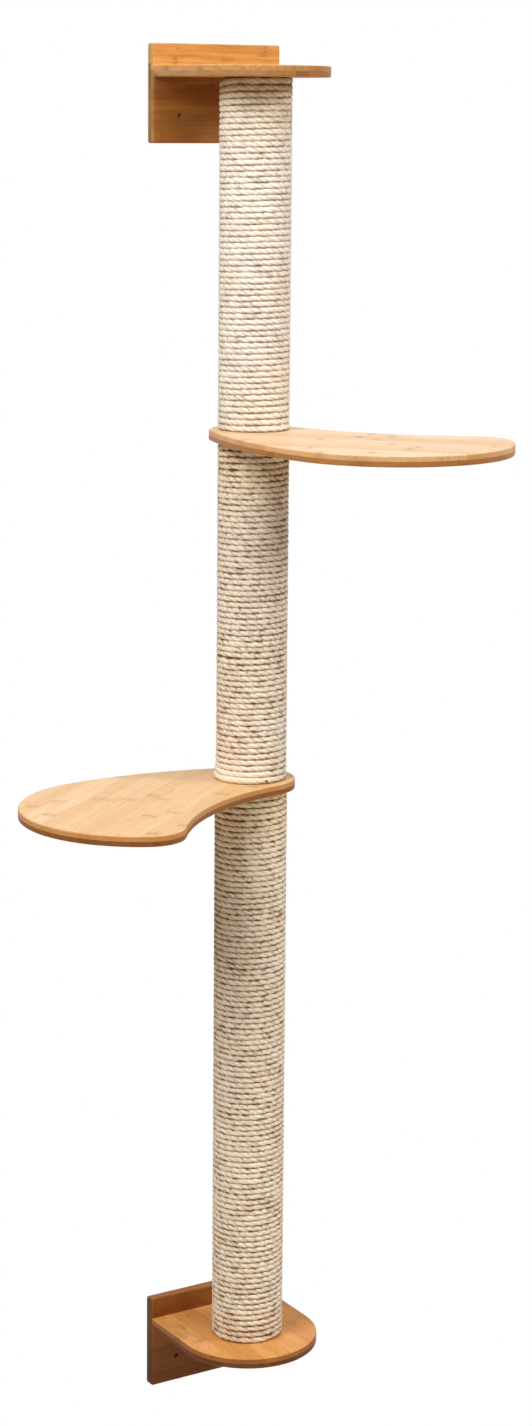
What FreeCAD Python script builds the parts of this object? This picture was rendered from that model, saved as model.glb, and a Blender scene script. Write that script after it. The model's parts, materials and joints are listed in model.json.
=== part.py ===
# Wall mounted cat tree: two bamboo wall brackets, three rope-wound posts and two kidney-shaped platforms.
# Millimetres. Origin: centre of the lower wall plate's back face. +X right, +Y into the wall, +Z up.
import FreeCAD, Part
import math
import os

os.makedirs("parts", exist_ok=True)
Vec = FreeCAD.Vector

# Wall plates
plate_width = 203.0
plate_height = 135.0
plate_thickness = 15.0
plate_corner_radius = 5.0
wall_hole_spacing = 120.0
wall_hole_drop = 97.0            # below the plate's top edge
wall_hole_diameter = 6.5
bracket_ease = 1.2               # bevel round each plate's front and each shelf's free edges

# Bracket shelves, with a half-round front end about the post
shelf_thickness = 15.0
shelf_drop = 30.0                # plate's top edge down to the shelf's top face
post_offset = 118.0              # wall to the post's centre line

# Posts: a card tube wound with rope
tube_diameter = 83.0
tube_wall = 3.5
lower_post_length = 814.0
middle_post_length = 478.0
upper_post_length = 478.0

# Rope
rope_diameter = 7.5
rope_turn_gap = 0.5              # between neighbouring turns
rope_seat_gap = 0.25             # between the tube and the rope
rope_end_gap = 0.3               # between the rope's end and the board beside it
end_turns = 2                    # turns drawn in full at each end of a post
rope_sides = 6
rope_end_angles = {"lower": 60.0, "middle": -95.0, "upper": 100.0}   # where each winding starts and stops

# Platforms: one outline of five tangent arcs, used twice
platform_thickness = 15.0
platform_ease = 1.6
collar_radius = 62.0
lobe_distance = 229.0            # post centre to the lobe's centre
lobe_radius = 166.0
tip_radius = 52.0
waist_radius = 360.0
waist_angle = 81.0               # where the waist leaves the collar, from the lobe's direction
flank_radius = 508.0
lower_platform_angle = -161.8    # direction of the lobe, from +X
upper_platform_angle = -68.3

# End plugs and the nuts held in them
plug_thickness = 18.0
plug_clearance = 0.1             # radial, inside the tube
nut_width = 13.0                 # across flats
nut_thickness = 6.5
thread_diameter = 8.0
thread_clearance = 0.05          # radial, in the nuts
hole_clearance = 0.1             # radial, boards and plugs about bolts and studs
thread_end = 1.5                 # bolts and studs past their nuts

# Bracket bolts
bolt_head_diameter = 16.0
bolt_head_sink = 0.4             # the countersunk head lies this far under the shelf's surface

cut_past = 1.0                   # how far a cutting shape runs past a face

# Levels, from the lower plate's centre upwards
lower_shelf_top = plate_height / 2 - shelf_drop
lower_platform_base = lower_shelf_top + lower_post_length
middle_post_base = lower_platform_base + platform_thickness
upper_platform_base = middle_post_base + middle_post_length
upper_post_base = upper_platform_base + platform_thickness
upper_shelf_base = upper_post_base + upper_post_length
upper_plate_centre = upper_shelf_base + shelf_thickness + shelf_drop - plate_height / 2

tube_radius = tube_diameter / 2
rope_radius = rope_diameter / 2
rope_pitch = rope_diameter + rope_turn_gap
rope_ridge = rope_radius / math.cos(math.pi / rope_sides)   # from the rope's middle out to a corner of its section
winding_radius = tube_radius + rope_seat_gap + rope_ridge
rope_slope = rope_pitch / math.hypot(2 * math.pi * winding_radius, rope_pitch)   # rise along one unit of rope
axis_point = Vec(0, -post_offset, 0)
up = Vec(0, 0, 1)
into_wall = Vec(0, 1, 0)


def polar(radius, degrees):
    return Vec(radius * math.cos(math.radians(degrees)), radius * math.sin(math.radians(degrees)), 0)


def on_axis(z):
    return axis_point + up * z


def cylinder(radius, length, base, direction=up):
    return Part.makeCylinder(radius, length, base, direction)


def turned(profile, base, direction=up):
    """Revolve (radius, height) points about a line through base."""
    points = [Vec(r, 0, h) for r, h in profile]
    body = Part.Face(Part.makePolygon(points + points[:1])).revolve(Vec(0, 0, 0), up, 360)
    body.Placement = FreeCAD.Placement(base, FreeCAD.Rotation(up, direction))
    return body


def arc_edge(centre, radius, start, end):
    """Arc from start to end degrees; anticlockwise where end is the larger."""
    middle = centre + polar(radius, (start + end) / 2)
    return Part.Arc(centre + polar(radius, start), middle, centre + polar(radius, end)).toShape()


def heading(vector):
    return math.degrees(math.atan2(vector.y, vector.x))


def hexagon(width, height, base, direction=up):
    """Prism of a given width across flats."""
    corners = [polar(width / math.sqrt(3), 60 * k) for k in range(7)]
    prism = Part.Face(Part.makePolygon(corners)).extrude(up * height)
    prism.Placement = FreeCAD.Placement(base, FreeCAD.Rotation(up, direction))
    return prism


def edges_at(shape, test):
    return [edge for edge in shape.Edges if test(edge.BoundBox)]


def save(name, *solids):
    shape = solids[0] if len(solids) == 1 else Part.makeCompound(list(solids))
    for solid in shape.Solids:
        assert solid.isValid(), name
    shape.exportStep("parts/" + name + ".step")
    volume = sum(solid.Volume for solid in shape.Solids)
    print(name, len(shape.Solids), "solid(s)", round(volume / 1000, 1), "cm3")


# ---------------------------------------------------------------- bolt holes

def bolt_hole(thickness, base):
    """Upright through hole for a bolt or stud."""
    radius = thread_diameter / 2 + hole_clearance
    return cylinder(radius, thickness + 2 * cut_past, base - up * cut_past)


def countersink(surface, direction):
    """Space for a bolt's head, open to the surface."""
    shank = thread_diameter / 2 + hole_clearance
    mouth = bolt_head_diameter / 2 + hole_clearance + bolt_head_sink + cut_past
    profile = [(0, 0), (mouth, 0), (shank, mouth - shank), (0, mouth - shank)]
    return turned(profile, surface - direction * cut_past, direction)


# ---------------------------------------------------------------- brackets

def wall_plate(centre_z):
    half = plate_height / 2
    board = Part.makeBox(plate_width, plate_thickness, plate_height,
                         Vec(-plate_width / 2, -plate_thickness, centre_z - half))
    corners = edges_at(board, lambda box: box.YLength > plate_thickness / 2)
    board = board.makeFillet(plate_corner_radius, corners)
    front_rim = edges_at(board, lambda box: box.YMax < -plate_thickness / 2)
    board = board.makeChamfer(bracket_ease, front_rim)
    hole_z = centre_z + half - wall_hole_drop
    for side in (-1, 1):
        start = Vec(side * wall_hole_spacing / 2, cut_past, hole_z)
        board = board.cut(cylinder(wall_hole_diameter / 2, plate_thickness + 2 * cut_past, start, -into_wall))
    return board.Solids[0]


def bracket_shelf(base_z, post_side):
    """post_side is +1 where the post stands on the shelf and -1 where it hangs under it."""
    half = plate_width / 2
    back = -plate_thickness
    left_back = Vec(-half, back, base_z)
    right_back = Vec(half, back, base_z)
    left_turn = Vec(-half, -post_offset, base_z)
    right_turn = Vec(half, -post_offset, base_z)
    front = Part.Arc(right_turn, Vec(0, -post_offset - half, base_z), left_turn).toShape()
    outline = Part.Wire([Part.makeLine(left_back, right_back), Part.makeLine(right_back, right_turn),
                         front, Part.makeLine(left_turn, left_back)])
    board = Part.Face(outline).extrude(up * shelf_thickness)
    rim = edges_at(board, lambda box: box.ZLength < shelf_thickness / 2 and box.YMin < back - bracket_ease)
    board = board.makeChamfer(bracket_ease, rim)
    board = board.cut(bolt_hole(shelf_thickness, on_axis(base_z)))
    board = board.cut(countersink(far_face(base_z, post_side), up * post_side))
    return board.Solids[0]


def far_face(base_z, post_side):
    """Where the post's centre line leaves the shelf on the side away from the post."""
    return on_axis(base_z + shelf_thickness * (1 - post_side) / 2)


def bracket_bolt(base_z, post_side):
    """Countersunk bolt through the shelf, the plug and its nut."""
    head = bolt_head_diameter / 2
    shank = thread_diameter / 2
    length = shelf_thickness - bolt_head_sink + plug_thickness + nut_thickness + thread_end
    profile = [(0, 0), (head, 0), (shank, head - shank), (shank, length), (0, length)]
    inward = up * post_side
    return turned(profile, far_face(base_z, post_side) + inward * bolt_head_sink, inward)


# ---------------------------------------------------------------- posts

def card_tube(base_z, length):
    outer = cylinder(tube_radius, length, on_axis(base_z))
    return outer.cut(cylinder(tube_radius - tube_wall, length, on_axis(base_z)))


def end_plug(face_z, inward):
    """Wooden disc flush with a tube's end; inward is +1 where the tube runs up from face_z."""
    base = min(face_z, face_z + inward * plug_thickness)
    disc = cylinder(tube_radius - tube_wall - plug_clearance, plug_thickness, on_axis(base))
    return disc.cut(bolt_hole(plug_thickness, on_axis(base)))


def plug_nut(face_z, inward):
    """Nut on the plug's inner face, where the bolt or stud ends."""
    base = on_axis(face_z + inward * plug_thickness)
    bore = cylinder(thread_diameter / 2 + thread_clearance, nut_thickness, base, up * inward)
    return hexagon(nut_width, nut_thickness, base, up * inward).cut(bore)


def platform_stud(middle_z):
    """Threaded stud that clamps a platform between two posts."""
    length = platform_thickness + 2 * (plug_thickness + nut_thickness + thread_end)
    return cylinder(thread_diameter / 2, length, on_axis(middle_z - length / 2))


# ---------------------------------------------------------------- rope windings

def biarc(start, start_way, end, end_way):
    """Two tangent arcs between two points with given directions."""
    gap = end - start
    ways = start_way + end_way
    spread = 2 * (1 - start_way.dot(end_way))
    reach = (-gap.dot(ways) + math.sqrt(gap.dot(ways) ** 2 + spread * gap.dot(gap))) / spread
    corners = (start + start_way * reach, end - end_way * reach)
    joint = (corners[0] + corners[1]) * 0.5
    arcs = []
    for first, corner, last in ((start, corners[0], joint), (joint, corners[1], end)):
        chord_middle = (first + last) * 0.5
        rise = corner - chord_middle
        half_chord = (last - first).Length / 2
        sagitta = half_chord * math.tan(math.atan2(rise.Length, half_chord) / 2)
        arcs.append(Part.Arc(first, chord_middle + rise.normalize() * sagitta, last).toShape())
    return arcs


def helix_point(base_z, degrees):
    return on_axis(base_z + rope_pitch * degrees / 360) + polar(winding_radius, degrees)


def helix_way(degrees):
    along = polar(2 * math.pi * winding_radius, degrees + 90) + up * rope_pitch
    return along.normalize()


def rope_run(base_z, start_degrees, turns):
    """One unbroken rope of whole turns that climbs anticlockwise, with a short straight end each way."""
    end_degrees = start_degrees + 360 * turns
    foot = base_z - rope_pitch * start_degrees / 360
    first = helix_point(foot, start_degrees)
    last = helix_point(foot, end_degrees)
    first_way = helix_way(start_degrees)
    last_way = helix_way(end_degrees)
    path = [Part.makeLine(first - first_way * rope_diameter, first)]
    for half_turn in range(2 * turns):
        a = start_degrees + 180 * half_turn
        b = a + 180
        path += biarc(helix_point(foot, a), helix_way(a), helix_point(foot, b), helix_way(b))
    path.append(Part.makeLine(last, last + last_way * rope_diameter))
    outward = polar(1, start_degrees)
    across = first_way.cross(outward)
    origin = first - first_way * rope_diameter
    ring = []
    for k in range(rope_sides + 1):
        corner = polar(rope_ridge, 360 * k / rope_sides)
        ring.append(origin + outward * corner.x + across * corner.y)
    pipe = Part.BRepOffsetAPI.MakePipeShell(Part.Wire(path))
    pipe.add(Part.makePolygon(ring))
    pipe.build()
    pipe.makeSolid()
    return pipe.shape().Solids[0], path


def least_gap(path, samples_per_edge=24):
    """Smallest space between neighbouring turns, measured on points along the rope's centre line."""
    points = []
    travelled = []
    total = 0.0
    for edge in path:
        for point in edge.discretize(samples_per_edge)[:-1]:
            if points:
                total += (point - points[-1]).Length
            points.append(point)
            travelled.append(total)
    half_turn = math.pi * winding_radius
    return min(points[i].distanceToPoint(points[j]) - rope_diameter
               for i in range(len(points)) for j in range(i + 1, len(points))
               if travelled[j] - travelled[i] > half_turn)


def winding(name, base_z, length):
    """The rope of one post: whole turns at both ends and a plain stretch between them."""
    angle = rope_end_angles[name]
    end_rise = rope_diameter * rope_slope
    lift = rope_ridge + end_rise + rope_end_gap
    bottom_z = base_z + lift
    top_z = base_z + length - lift - rope_pitch * end_turns
    bottom_run, bottom_path = rope_run(bottom_z, angle, end_turns)
    top_run, top_path = rope_run(top_z, angle, end_turns)
    gap = min(least_gap(bottom_path), least_gap(top_path))
    print(name, "rope: least gap between turns", round(gap, 3), "mm")

    plain_start = bottom_z + rope_pitch * end_turns + lift
    plain_end = top_z - lift
    sleeve = cylinder(winding_radius + rope_radius, plain_end - plain_start, on_axis(plain_start))
    sleeve = sleeve.cut(cylinder(tube_radius + rope_seat_gap, plain_end - plain_start, on_axis(plain_start)))
    return [bottom_run, sleeve.Solids[0], top_run]


# ---------------------------------------------------------------- platforms

def circles_meet(centre_a, radius_a, centre_b, radius_b):
    """The two points at given distances from two centres."""
    gap = centre_b - centre_a
    along = (radius_a ** 2 - radius_b ** 2 + gap.Length ** 2) / (2 * gap.Length)
    aside = math.sqrt(radius_a ** 2 - along ** 2)
    unit = gap * (1 / gap.Length)
    foot = centre_a + unit * along
    square = Vec(-unit.y, unit.x, 0) * aside
    return foot + square, foot - square


def platform_outline():
    """Kidney outline about the post, lobe along +X, waist on the +Y side."""
    post_centre = Vec(0, 0, 0)
    lobe = Vec(lobe_distance, 0, 0)
    waist = polar(collar_radius + waist_radius, waist_angle)
    tip = max(circles_meet(lobe, lobe_radius - tip_radius, waist, waist_radius + tip_radius), key=lambda p: p.x)
    flank = max(circles_meet(post_centre, flank_radius - collar_radius, lobe, flank_radius - lobe_radius),
                key=lambda p: p.y)
    waist_from = heading(post_centre - waist)
    waist_to = heading(tip - waist)
    tip_from = heading(waist - tip)
    tip_to = heading(tip - lobe)
    lobe_to = heading(lobe - flank)
    collar_from = heading(post_centre - flank)
    return Part.Wire([
        arc_edge(waist, waist_radius, waist_from, waist_to),
        arc_edge(tip, tip_radius, tip_from, tip_to),
        arc_edge(lobe, lobe_radius, tip_to, lobe_to),
        arc_edge(flank, flank_radius, lobe_to, collar_from),
        arc_edge(post_centre, collar_radius, collar_from, waist_angle - 360),
    ])


def platform(base_z, lobe_angle):
    board = Part.Face(platform_outline()).extrude(up * platform_thickness)
    rim = edges_at(board, lambda box: box.ZLength < platform_thickness / 2)
    board = board.makeChamfer(platform_ease, rim)
    board = board.cut(bolt_hole(platform_thickness, Vec(0, 0, 0)))
    board.Placement = FreeCAD.Placement(on_axis(base_z), FreeCAD.Rotation(up, lobe_angle))
    return board.Solids[0]


# ---------------------------------------------------------------- the whole tree

brackets = (("lower", lower_shelf_top - shelf_thickness, 0.0, 1),
            ("upper", upper_shelf_base, upper_plate_centre, -1))
posts = (("lower", lower_shelf_top, lower_post_length), ("middle", middle_post_base, middle_post_length),
         ("upper", upper_post_base, upper_post_length))
platforms = (("lower", lower_platform_base, lower_platform_angle),
             ("upper", upper_platform_base, upper_platform_angle))

for name, shelf_base, plate_centre, post_side in brackets:
    save(name + "_wall_plate", wall_plate(plate_centre))
    save(name + "_bracket_shelf", bracket_shelf(shelf_base, post_side))
    save(name + "_bracket_bolt", bracket_bolt(shelf_base, post_side))

ropes = []
nuts = []
for name, base_z, length in posts:
    ends = ((base_z, 1), (base_z + length, -1))
    save(name + "_post_tube", card_tube(base_z, length))
    save(name + "_post_plugs", *[end_plug(face_z, inward) for face_z, inward in ends])
    nuts += [plug_nut(face_z, inward) for face_z, inward in ends]
    ropes += winding(name, base_z, length)
save("plug_nuts", *nuts)
save("post_ropes", *ropes)

for name, base_z, lobe_angle in platforms:
    save(name + "_platform", platform(base_z, lobe_angle))
    save(name + "_platform_stud", platform_stud(base_z + platform_thickness / 2))

print("overall height", upper_plate_centre + plate_height, "mm")
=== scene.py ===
import bmesh
import bpy
import json
import math
import random
from mathutils import Matrix, Vector, noise


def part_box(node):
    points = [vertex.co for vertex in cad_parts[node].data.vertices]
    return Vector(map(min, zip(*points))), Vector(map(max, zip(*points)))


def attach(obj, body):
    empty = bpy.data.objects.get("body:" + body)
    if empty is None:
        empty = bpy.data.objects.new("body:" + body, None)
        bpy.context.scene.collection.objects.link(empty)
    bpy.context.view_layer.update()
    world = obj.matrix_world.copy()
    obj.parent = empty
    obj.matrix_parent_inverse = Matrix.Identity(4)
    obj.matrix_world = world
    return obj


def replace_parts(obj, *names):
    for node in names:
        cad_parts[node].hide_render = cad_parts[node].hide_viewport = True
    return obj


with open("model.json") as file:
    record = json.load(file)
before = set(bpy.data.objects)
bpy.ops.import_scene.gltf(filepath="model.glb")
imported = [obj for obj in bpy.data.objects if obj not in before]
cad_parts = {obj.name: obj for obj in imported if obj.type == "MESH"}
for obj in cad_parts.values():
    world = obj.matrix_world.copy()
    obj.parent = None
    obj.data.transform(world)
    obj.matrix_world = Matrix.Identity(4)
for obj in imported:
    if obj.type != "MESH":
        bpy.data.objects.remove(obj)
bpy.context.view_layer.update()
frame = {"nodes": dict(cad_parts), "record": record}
print("frame loaded with", len(frame["nodes"]), "nodes")


# small helpers for objects and edit mode

touching = 1e-5                    # points closer than this lie on the same face


def deselectAll():
    if bpy.context.mode != "OBJECT":
        bpy.ops.object.mode_set(mode="OBJECT")
    bpy.ops.object.select_all(action="DESELECT")


def takeUp(piece):
    deselectAll()
    piece.select_set(True)
    bpy.context.view_layer.objects.active = piece


def startEditing(piece, selectMode="EDGE"):
    takeUp(piece)
    bpy.ops.object.mode_set(mode="EDIT")
    bpy.ops.mesh.select_mode(type=selectMode)
    bpy.ops.mesh.select_all(action="DESELECT")


def selectFaces(piece, test):
    # test gets each face's middle
    mesh = bmesh.from_edit_mesh(piece.data)
    bpy.ops.mesh.select_all(action="DESELECT")
    for face in mesh.faces:
        if test(face.calc_center_median()):
            face.select_set(True)
    bmesh.update_edit_mesh(piece.data)


def selectEdges(piece, test):
    # test gets the two end points of each edge
    mesh = bmesh.from_edit_mesh(piece.data)
    bpy.ops.mesh.select_all(action="DESELECT")
    for edge in mesh.edges:
        if test(edge.verts[0].co, edge.verts[1].co):
            edge.select_set(True)
    bmesh.update_edit_mesh(piece.data)


def settle(piece, smoothAngle=40):
    # place goes into the mesh, and curved faces are shaded smooth
    takeUp(piece)
    bpy.ops.object.transform_apply(location=True, rotation=True, scale=True)
    bpy.ops.object.shade_smooth_by_angle(angle=math.radians(smoothAngle))
    # flat faces stay flat beside their rounded edges
    weighted = piece.modifiers.new("flatFaces", "WEIGHTED_NORMAL")
    weighted.keep_sharp = True
    applyModifiers(piece)


def applyModifiers(piece):
    takeUp(piece)
    for modifier in list(piece.modifiers):
        bpy.ops.object.modifier_apply(modifier=modifier.name)


def cutAway(piece, cutter):
    cut = piece.modifiers.new("cut", "BOOLEAN")
    cut.operation = "DIFFERENCE"
    cut.solver = "EXACT"
    cut.object = cutter
    applyModifiers(piece)
    bpy.data.objects.remove(cutter)


def drill(piece, radius, place, direction, depth=0.1, sides=32):
    # a round hole along direction, with place at its middle
    deselectAll()
    turn = Vector((0, 0, 1)).rotation_difference(Vector(direction)).to_euler()
    bpy.ops.mesh.primitive_cylinder_add(vertices=sides, radius=radius, depth=depth,
                                        location=place, rotation=turn)
    cutAway(piece, bpy.context.object)


def countersink(piece, radius, place, outward):
    # a cone that is radius wide at place and runs on outward by a share of that
    runOn = 0.2
    deselectAll()
    outward = Vector(outward)
    turn = Vector((0, 0, 1)).rotation_difference(outward).to_euler()
    size = radius * (1 + runOn)
    bpy.ops.mesh.primitive_cone_add(vertices=48, radius1=0, radius2=size, depth=size,
                                    location=Vector(place) - outward * (size / 2 - radius * runOn),
                                    rotation=turn)
    cutAway(piece, bpy.context.object)


def polar(radius, degrees):
    return Vector((radius * math.cos(math.radians(degrees)), radius * math.sin(math.radians(degrees)), 0))


# small helpers for material nodes

def newMaterial(name):
    material = bpy.data.materials.new(name)
    material.use_nodes = True
    tree = material.node_tree
    shader = tree.nodes["Principled BSDF"]
    return material, tree, shader


def addNode(tree, kind, inputs=None, **settings):
    node = tree.nodes.new(kind)
    for key, value in settings.items():
        setattr(node, key, value)
    for key, value in (inputs or {}).items():
        if isinstance(value, bpy.types.NodeSocket):
            tree.links.new(value, node.inputs[key])
        else:
            node.inputs[key].default_value = value
    return node


def calc(tree, operation, first, second=0.0, third=0.0):
    return addNode(tree, "ShaderNodeMath", {0: first, 1: second, 2: third}, operation=operation).outputs[0]


def mixColour(tree, factor, first, second, blend="MIX"):
    node = addNode(tree, "ShaderNodeMix", {"Factor": factor}, data_type="RGBA", blend_type=blend)
    for socket, value in ((node.inputs[6], first), (node.inputs[7], second)):
        if isinstance(value, bpy.types.NodeSocket):
            tree.links.new(value, socket)
        else:
            socket.default_value = (*value, 1) if len(value) == 3 else value
    return node.outputs[2]


def remap(tree, value, fromLow, fromHigh, toLow=0.0, toHigh=1.0):
    node = addNode(tree, "ShaderNodeMapRange", {"Value": value, "From Min": fromLow, "From Max": fromHigh,
                                                "To Min": toLow, "To Max": toHigh})
    return node.outputs["Result"]


def noiseOf(tree, vector, scale, detail=2.0, roughness=0.5):
    node = addNode(tree, "ShaderNodeTexNoise", {"Vector": vector, "Scale": scale, "Detail": detail,
                                                "Roughness": roughness})
    return node.outputs["Fac"]


def objectPlace(tree):
    return addNode(tree, "ShaderNodeTexCoord").outputs["Object"]


def combine(tree, x, y, z):
    return addNode(tree, "ShaderNodeCombineXYZ", {0: x, 1: y, 2: z}).outputs[0]


def splitUp(tree, vector):
    return addNode(tree, "ShaderNodeSeparateXYZ", {0: vector}).outputs


def vectorMath(tree, operation, first, second):
    return addNode(tree, "ShaderNodeVectorMath", {0: first, 1: second}, operation=operation).outputs[0]


# camera at the photograph's place

photoCamera = {
    "place": (-2.0506, -3.4701, 1.7936),
    "turnRight": 31.83,        # degrees from straight at the wall
    "tiltDown": 10.00,
    "roll": 0.49,
    "imageHeight": 1426,
    "focalPixels": 2855.1,
    "middle": (270.6, 613.5),  # where the optical axis meets the picture
    "imageWidth": 532,
}


def addCamera():
    data = bpy.data.cameras.new("photoCamera")
    camera = bpy.data.objects.new("photoCamera", data)
    bpy.context.scene.collection.objects.link(camera)
    height = photoCamera["imageHeight"]
    data.sensor_fit = "VERTICAL"
    data.sensor_height = 36
    data.lens = photoCamera["focalPixels"] / height * data.sensor_height
    data.shift_x = (photoCamera["imageWidth"] / 2 - photoCamera["middle"][0]) / height
    data.shift_y = (photoCamera["middle"][1] - height / 2) / height
    data.clip_end = 50
    turn = (Matrix.Rotation(math.radians(-photoCamera["turnRight"]), 4, "Z")
            @ Matrix.Rotation(math.radians(90 - photoCamera["tiltDown"]), 4, "X")
            @ Matrix.Rotation(math.radians(photoCamera["roll"]), 4, "Z"))
    camera.matrix_world = Matrix.Translation(photoCamera["place"]) @ turn
    bpy.context.scene.camera = camera


addCamera()
print("camera set")


# bamboo: strips side by side along the grain, two layers thick, with knots and fine fibres

bamboo = {
    "layerShift": 0.43,                             # share of a strip between the two layers' joints
    "slide": 3.0,                                   # strips are slid along the grain by up to this much
    "grainStretch": 0.045, "patchStretch": 0.3,     # below 1: drawn out along the grain
    "fineScale": 900, "wideScale": 170, "patchScale": 28, "mottleScale": 95, "speckScale": 420,
    "waverScale": 90, "waver": 0.012,               # how far a knot wavers across its strip
    "knotCore": (0.0008, 0.0045), "knotHalo": (0.002, 0.016), "haloShare": 0.45,
    "glueLine": (0.00015, 0.0006),
    "facing": (0.45, 0.85),                         # from edge to face, by the normal
    "bumpStrength": 0.2, "bumpDepth": 0.0002,
}


def boardPlace(tree, look):
    # from the board's middle, with X along the grain, Y across it and Z through the board
    centred = addNode(tree, "ShaderNodeMapping", {"Vector": objectPlace(tree),
                                                  "Location": [-c for c in look["centre"]]},
                      vector_type="POINT").outputs[0]
    return addNode(tree, "ShaderNodeMapping", {"Vector": centred, "Rotation": look["turn"]},
                   vector_type="POINT").outputs[0]


def bambooStrips(tree, look, across, deep):
    width = look["stripWidth"]
    layer = calc(tree, "GREATER_THAN", deep, 0.0)
    shift = calc(tree, "MULTIPLY", layer, width * bamboo["layerShift"])
    strips = calc(tree, "DIVIDE", calc(tree, "ADD", across, shift), width)
    strip = calc(tree, "FLOOR", strips)
    stripKey = combine(tree, strip, layer, look["seed"])
    chance = addNode(tree, "ShaderNodeTexWhiteNoise", {"Vector": stripKey}, noise_dimensions="3D")
    drift = remap(tree, strip, look["driftFrom"], look["driftTo"])      # darker towards one side; on the wall plates this is painted shade below the shelf
    tone = addNode(tree, "ShaderNodeMix", {0: look["drift"], 2: chance.outputs["Value"], 3: drift}).outputs[0]
    phases = addNode(tree, "ShaderNodeSeparateColor", {0: chance.outputs["Color"]})
    slide = calc(tree, "MULTIPLY", phases.outputs[1], bamboo["slide"])

    # distance to the nearest glue line, in metres
    inStrip = calc(tree, "ABSOLUTE", calc(tree, "SUBTRACT", calc(tree, "FRACT", strips), 0.5))
    toSide = calc(tree, "MULTIPLY", calc(tree, "SUBTRACT", 0.5, inStrip), width)
    toGlue = calc(tree, "MINIMUM", toSide, calc(tree, "ABSOLUTE", deep))
    glue = remap(tree, toGlue, *bamboo["glueLine"], 1.0, 0.0)
    return layer, tone, slide, glue


def bambooKnots(tree, look, turned, slid, grainPlace):
    # one band in each length of stem, with a softer halo
    sway = calc(tree, "SUBTRACT", noiseOf(tree, turned, bamboo["waverScale"]), 0.5)
    waver = calc(tree, "MULTIPLY", sway, bamboo["waver"])
    stem = calc(tree, "DIVIDE", calc(tree, "ADD", slid, waver), look["knotSpacing"])
    inStem = calc(tree, "ABSOLUTE", calc(tree, "SUBTRACT", calc(tree, "FRACT", stem), 0.5))
    fromKnot = calc(tree, "MULTIPLY", inStem, look["knotSpacing"])
    core = remap(tree, fromKnot, *bamboo["knotCore"], 1.0, 0.0)
    halo = remap(tree, fromKnot, *bamboo["knotHalo"], 1.0, 0.0)
    specks = remap(tree, noiseOf(tree, grainPlace, bamboo["speckScale"], 2, 0.7), 0.46, 0.62)
    knot = calc(tree, "MULTIPLY", calc(tree, "MULTIPLY", core, specks), look["knotDepth"])
    return knot, calc(tree, "MULTIPLY", halo, look["knotDepth"] * bamboo["haloShare"])


def tintEdges(tree, look, layer, colour):
    # the edges show cut fibres, in another tint than the faces; an edge that faces up can instead take a
    # painted highlight
    normal = splitUp(tree, addNode(tree, "ShaderNodeNewGeometry").outputs["Normal"])
    facing = calc(tree, "ABSOLUTE", normal[look["faceAxis"]])
    edgeShare = remap(tree, facing, *bamboo["facing"], 1.0, 0.0)
    tint = mixColour(tree, layer, look["edgeLower"], look["edgeUpper"])
    # painted highlight on edges that face up, where light falls from above
    if "paintedTopLight" in look:
        tint = mixColour(tree, remap(tree, normal[2], *bamboo["facing"]), tint, look["paintedTopLight"])
    return mixColour(tree, edgeShare, colour, mixColour(tree, 1.0, colour, tint, "MULTIPLY"))


def addBamboo(name, look):
    material, tree, shader = newMaterial(name)
    turned = boardPlace(tree, look)
    along, across, deep = splitUp(tree, turned)
    layer, tone, slide, glue = bambooStrips(tree, look, across, deep)
    slid = calc(tree, "ADD", along, slide)
    grainPlace = combine(tree, calc(tree, "MULTIPLY", slid, bamboo["grainStretch"]), across, deep)
    patchPlace = combine(tree, calc(tree, "MULTIPLY", slid, bamboo["patchStretch"]), across, deep)
    fineGrain = noiseOf(tree, grainPlace, bamboo["fineScale"], 3, 0.6)
    wideGrain = noiseOf(tree, grainPlace, bamboo["wideScale"], 3, 0.55)
    patches = noiseOf(tree, patchPlace, bamboo["patchScale"], 2, 0.5)
    spots = noiseOf(tree, patchPlace, bamboo["mottleScale"], 3, 0.7)
    mottles = remap(tree, spots, 0.56, 0.70, 0, look["mottle"])
    knot, knotShade = bambooKnots(tree, look, turned, slid, grainPlace)

    contrast = look["grainContrast"]
    colour = mixColour(tree, remap(tree, tone, 0, 1, 0, look["stripContrast"]), look["light"], look["dark"])
    colour = mixColour(tree, remap(tree, patches, 0.35, 0.7, 0, 0.35), colour, look["warm"])
    colour = mixColour(tree, remap(tree, wideGrain, 0.35, 0.75, 0, contrast), colour, look["dark"])
    colour = mixColour(tree, remap(tree, fineGrain, 0.5, 0.78, 0, contrast), colour, look["fibre"])
    colour = mixColour(tree, calc(tree, "MAXIMUM", knotShade, mottles), colour, look["fibre"])
    colour = mixColour(tree, knot, colour, look["knot"])
    colour = mixColour(tree, calc(tree, "MULTIPLY", glue, look["glueDepth"]), colour, look["knot"])
    tree.links.new(tintEdges(tree, look, layer, colour), shader.inputs["Base Color"])

    roughness = remap(tree, wideGrain, 0.3, 0.7, look["roughness"] - 0.05, look["roughness"] + 0.08)
    tree.links.new(roughness, shader.inputs["Roughness"])
    height = calc(tree, "SUBTRACT", calc(tree, "MULTIPLY", fineGrain, 0.5), calc(tree, "MULTIPLY", glue, 0.4))
    bump = addNode(tree, "ShaderNodeBump", {"Height": height, "Strength": bamboo["bumpStrength"],
                                            "Distance": bamboo["bumpDepth"]})
    tree.links.new(bump.outputs[0], shader.inputs["Normal"])
    shader.inputs["Specular IOR Level"].default_value = look["gloss"]
    return material


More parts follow.
